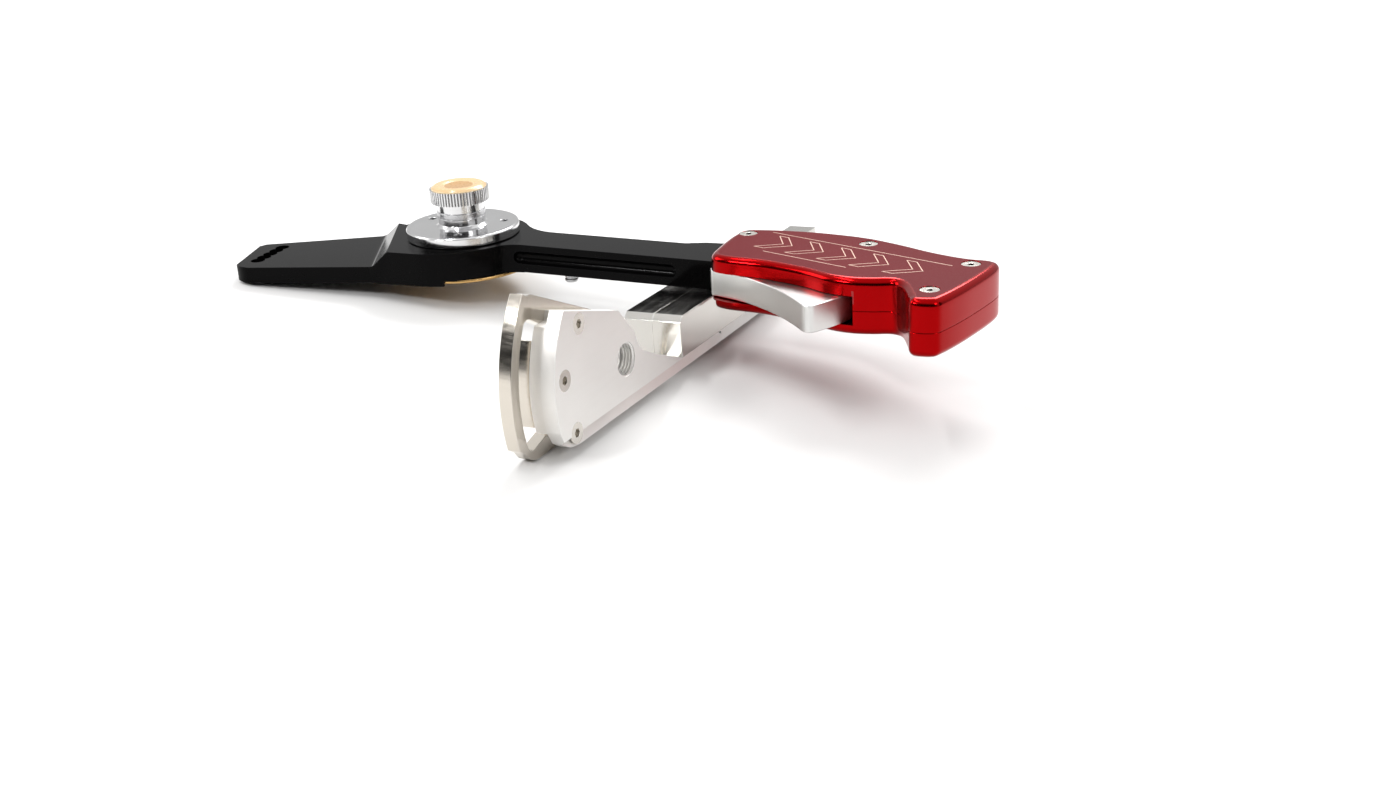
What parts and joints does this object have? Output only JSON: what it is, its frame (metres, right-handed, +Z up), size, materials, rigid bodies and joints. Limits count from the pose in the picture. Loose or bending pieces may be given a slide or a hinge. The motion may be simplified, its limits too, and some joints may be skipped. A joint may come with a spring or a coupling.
{
  "type": "gear shift lever",
  "caption": "Trigger-grip gear shift lever with a flanged pivot knob, lying across its loose arc-slot gate bracket with twin mounting rails.",
  "frame": {"origin": "bottom centre of the part's box as it lies at rest", "axes": "+X from the shift plate to the grip, +Y along the bracket rails away from the gate, +Z up"},
  "size_m": [0.3672, 0.263, 0.0655],
  "materials": {
    "black_anodised": "black anodised, satin",
    "red_anodised": "red anodised, glossy sides and matt top",
    "polished_alloy": "polished",
    "milled_alloy": "fine milled",
    "warm_steel": "warm polished steel",
    "bright_steel": "bright plated",
    "steel": "turned",
    "dark_steel": "dark plated",
    "bronze": "turned bronze",
    "cream_cap": "gloss",
    "tan_inlay": "satin"
  },
  "bodies": {
    "bracket": {"gate_plate": "warm_steel", "spacer_plate": "milled_alloy", "front_plate": "milled_alloy", "bore_bushing": "bright_steel", "plate_screws": "bright_steel", "front_rail": "milled_alloy", "rear_rail": "milled_alloy", "rail_screws": "dark_steel", "base_foot": "milled_alloy"},
    "lever": {"lever_arm": "black_anodised", "hub_bushing": "bronze", "thrust_washer": "bronze", "pin_guide": "steel", "grip_upper": "red_anodised", "grip_lower": "red_anodised", "grip_screws": "bright_steel", "tang_dowels": "steel", "trigger_pin": "steel", "pin_spring": "steel"},
    "pivot": {"pivot_spindle": "polished_alloy", "flange_screws": "dark_steel", "spindle_nut": "steel", "neck_ring": "dark_steel"},
    "knob": {"knob": "polished_alloy", "knob_cap": "cream_cap", "knob_inlay": "tan_inlay"},
    "trigger": {"trigger": "polished_alloy"},
    "rod": {"push_rod": "steel"},
    "pin": {"gate_pin": "bright_steel"}
  },
  "joints": [
    {"name": "lever_lift_off", "type": "slide", "parent": "bracket", "child": "lever", "axis": [0, 0, 1], "range_m": [0, 0.09]},
    {"name": "pivot_turn", "type": "hinge", "parent": "lever", "child": "pivot", "pos_m": [-0.07952, 0.02784, 0.03157], "axis": [-0.1045, 0, 0.9945], "continuous": true},
    {"name": "knob_turn", "type": "hinge", "parent": "pivot", "child": "knob", "pos_m": [-0.08056, 0.02784, 0.04152], "axis": [-0.1045, 0, 0.9945], "continuous": true},
    {"name": "trigger_pull", "type": "hinge", "parent": "lever", "child": "trigger", "pos_m": [0.06788, 0.01284, 0.0355], "axis": [-0.1045, 0, 0.9945], "range_deg": [0, 10], "stiffness_Nm_per_rad": 0.6, "springref_deg": -5.73},
    {"name": "rod_push", "type": "slide", "parent": "lever", "child": "rod", "axis": [-0.9945, 0, -0.1045], "range_m": [0, 0.00272]},
    {"name": "pin_lift", "type": "slide", "parent": "lever", "child": "pin", "axis": [-0.1045, 0, 0.9945], "range_m": [0, 0.00455], "deforming": ["pin_spring"]}
  ],
  "couplings": [
    {"joint": "rod_push", "follows": "trigger_pull", "m_per_rad": 0.015},
    {"joint": "pin_lift", "follows": "trigger_pull", "m_per_rad": 0.0255}
  ]
}
